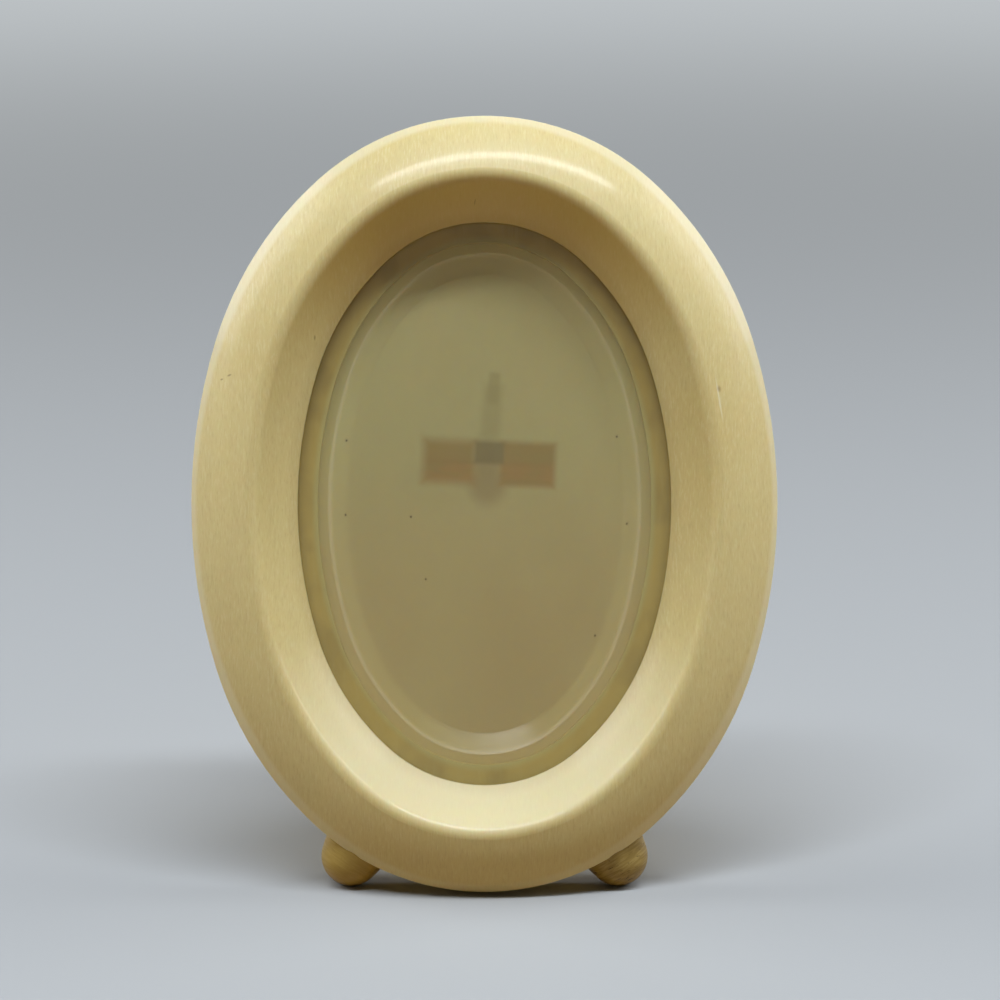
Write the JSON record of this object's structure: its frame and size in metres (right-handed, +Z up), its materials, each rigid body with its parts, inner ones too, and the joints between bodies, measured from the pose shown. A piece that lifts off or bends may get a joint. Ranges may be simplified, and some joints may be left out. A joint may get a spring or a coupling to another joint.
{
  "type": "oval picture frame",
  "caption": "Standing oval picture frame in ivory celluloid, with a dished window, ball feet, a hinged easel strut and turn buttons on the back.",
  "frame": {"origin": "bottom centre of the box, on the surface that the frame stands on", "axes": "+Z up, the frame faces -Y and leans back, +X to the viewer's right; the hinge axis is along X"},
  "size_m": [0.1054, 0.0557, 0.1365],
  "materials": {
    "ivory_celluloid": "laminated ivory celluloid with fine upright lines, polished and yellowed",
    "foot_celluloid": "turned ivory celluloid, polished, with curved laminate lines",
    "ring_celluloid": "sawn celluloid sheet, aged and dull",
    "clear_celluloid": "clear celluloid, yellowed, glossy, with a pressed step",
    "panel_celluloid": "thin translucent ivory sheet, satin",
    "strut_celluloid": "ivory celluloid sheet, satin, with eased edges",
    "strap_brass": "thin rolled brass sheet, tarnished brown",
    "steel_wire": "drawn steel wire, dulled",
    "knuckle_steel": "rolled steel strip, dull",
    "rivet_brass": "brass, headed over, tarnished",
    "button_brass": "stamped brass, tarnished, worn bright at the edges",
    "stud_brass": "turned brass"
  },
  "bodies": {
    "frame": {"front_moulding": "ivory_celluloid", "rear_ring": "ring_celluloid", "glazing_pane": "clear_celluloid", "back_panel": "panel_celluloid", "hinge_pin": "steel_wire", "hinge_strap_left": "strap_brass", "hinge_strap_right": "strap_brass", "foot_left": "foot_celluloid", "foot_right": "foot_celluloid", "foot_stud_left": "stud_brass", "foot_stud_right": "stud_brass", "button_screw_upper_right": "button_brass", "button_screw_upper_left": "button_brass", "button_screw_lower_left": "button_brass", "button_screw_lower_right": "button_brass"},
    "strut": {"easel_strut": "strut_celluloid", "strut_knuckle": "knuckle_steel", "strut_rivets": "rivet_brass"},
    "turn_button_upper_right": {"turn_button_upper_right": "button_brass"},
    "turn_button_upper_left": {"turn_button_upper_left": "button_brass"},
    "turn_button_lower_left": {"turn_button_lower_left": "button_brass"},
    "turn_button_lower_right": {"turn_button_lower_right": "button_brass"}
  },
  "joints": [
    {"name": "strut_hinge", "type": "hinge", "parent": "frame", "child": "strut", "pos_m": [0, 0.00362, 0.07367], "axis": [1, 0, 0], "range_deg": [-30, 0]},
    {"name": "button_upper_right_swivel", "type": "hinge", "parent": "frame", "child": "turn_button_upper_right", "pos_m": [0.02792, 0.01099, 0.10818], "axis": [0, -0.9703, 0.2419], "continuous": true},
    {"name": "button_upper_left_swivel", "type": "hinge", "parent": "frame", "child": "turn_button_upper_left", "pos_m": [-0.02792, 0.01099, 0.10818], "axis": [0, -0.9703, 0.2419], "continuous": true},
    {"name": "button_lower_left_swivel", "type": "hinge", "parent": "frame", "child": "turn_button_lower_left", "pos_m": [-0.02792, -0.00965, 0.02538], "axis": [0, -0.9703, 0.2419], "continuous": true},
    {"name": "button_lower_right_swivel", "type": "hinge", "parent": "frame", "child": "turn_button_lower_right", "pos_m": [0.02792, -0.00965, 0.02538], "axis": [0, -0.9703, 0.2419], "continuous": true}
  ]
}
